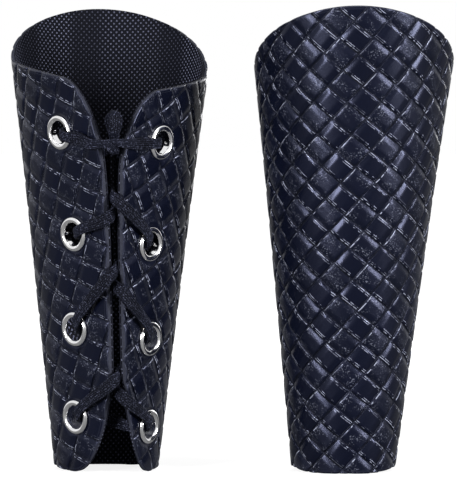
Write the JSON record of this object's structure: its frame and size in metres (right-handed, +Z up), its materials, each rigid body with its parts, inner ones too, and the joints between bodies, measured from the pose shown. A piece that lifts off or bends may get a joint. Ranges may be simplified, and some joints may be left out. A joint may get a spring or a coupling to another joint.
{
  "type": "pair of laced forearm bracers",
  "caption": "Tapered, lined leather forearm bracers standing on their wrist ends, each with a slit laced up through metal eyelets with a flat braided cord.",
  "frame": {"origin": "on the floor, at the middle of the underside of the box round both bracers", "axes": "+Z up along the standing bracers, +X from the left bracer to the right one, -Y toward the viewer and out of the left bracer's slit"},
  "size_m": [0.2484, 0.1475, 0.2595],
  "materials": {
    "outer_leather": "semi-gloss embossed diagonal weave",
    "lining_cloth": "matt woven cloth with fine dots",
    "eyelet_metal": "polished",
    "lace_braid": "flat herringbone braid with a slight sheen"
  },
  "bodies": {
    "left_bracer": {"left_right_flap_leather": "outer_leather", "left_right_flap_lining": "lining_cloth", "left_right_flap_eyelet_1": "eyelet_metal", "left_right_flap_eyelet_2": "eyelet_metal", "left_right_flap_eyelet_3": "eyelet_metal", "left_right_flap_eyelet_4": "eyelet_metal", "left_right_flap_washer_1": "eyelet_metal", "left_right_flap_washer_2": "eyelet_metal", "left_right_flap_washer_3": "eyelet_metal", "left_right_flap_washer_4": "eyelet_metal", "left_lace": "lace_braid"},
    "left_bracer_flap": {"left_left_flap_leather": "outer_leather", "left_left_flap_lining": "lining_cloth", "left_left_flap_eyelet_1": "eyelet_metal", "left_left_flap_eyelet_2": "eyelet_metal", "left_left_flap_eyelet_3": "eyelet_metal", "left_left_flap_eyelet_4": "eyelet_metal", "left_left_flap_washer_1": "eyelet_metal", "left_left_flap_washer_2": "eyelet_metal", "left_left_flap_washer_3": "eyelet_metal", "left_left_flap_washer_4": "eyelet_metal"},
    "right_bracer": {"right_right_flap_leather": "outer_leather", "right_right_flap_lining": "lining_cloth", "right_right_flap_eyelet_1": "eyelet_metal", "right_right_flap_eyelet_2": "eyelet_metal", "right_right_flap_eyelet_3": "eyelet_metal", "right_right_flap_eyelet_4": "eyelet_metal", "right_right_flap_washer_1": "eyelet_metal", "right_right_flap_washer_2": "eyelet_metal", "right_right_flap_washer_3": "eyelet_metal", "right_right_flap_washer_4": "eyelet_metal", "right_lace": "lace_braid"},
    "right_bracer_flap": {"right_left_flap_leather": "outer_leather", "right_left_flap_lining": "lining_cloth", "right_left_flap_eyelet_1": "eyelet_metal", "right_left_flap_eyelet_2": "eyelet_metal", "right_left_flap_eyelet_3": "eyelet_metal", "right_left_flap_eyelet_4": "eyelet_metal", "right_left_flap_washer_1": "eyelet_metal", "right_left_flap_washer_2": "eyelet_metal", "right_left_flap_washer_3": "eyelet_metal", "right_left_flap_washer_4": "eyelet_metal"}
  },
  "joints": [
    {"name": "left_bracer_opening", "type": "hinge", "parent": "left_bracer", "child": "left_bracer_flap", "pos_m": [-0.07333, 0.03626, 0], "axis": [-0.0171, -0.1434, -0.9895], "range_deg": [0, 30], "stiffness_Nm_per_rad": 0.8, "deforming": ["left_lace"]},
    {"name": "right_bracer_lift", "type": "slide", "parent": "left_bracer", "child": "right_bracer", "axis": [0, 0, 1], "range_m": [0, 0.28]},
    {"name": "right_bracer_opening", "type": "hinge", "parent": "right_bracer", "child": "right_bracer_flap", "pos_m": [0.06129, -0.03605, 0], "axis": [-0.0009, 0.1427, -0.9898], "range_deg": [0, 30], "stiffness_Nm_per_rad": 0.8, "deforming": ["right_lace"]}
  ]
}
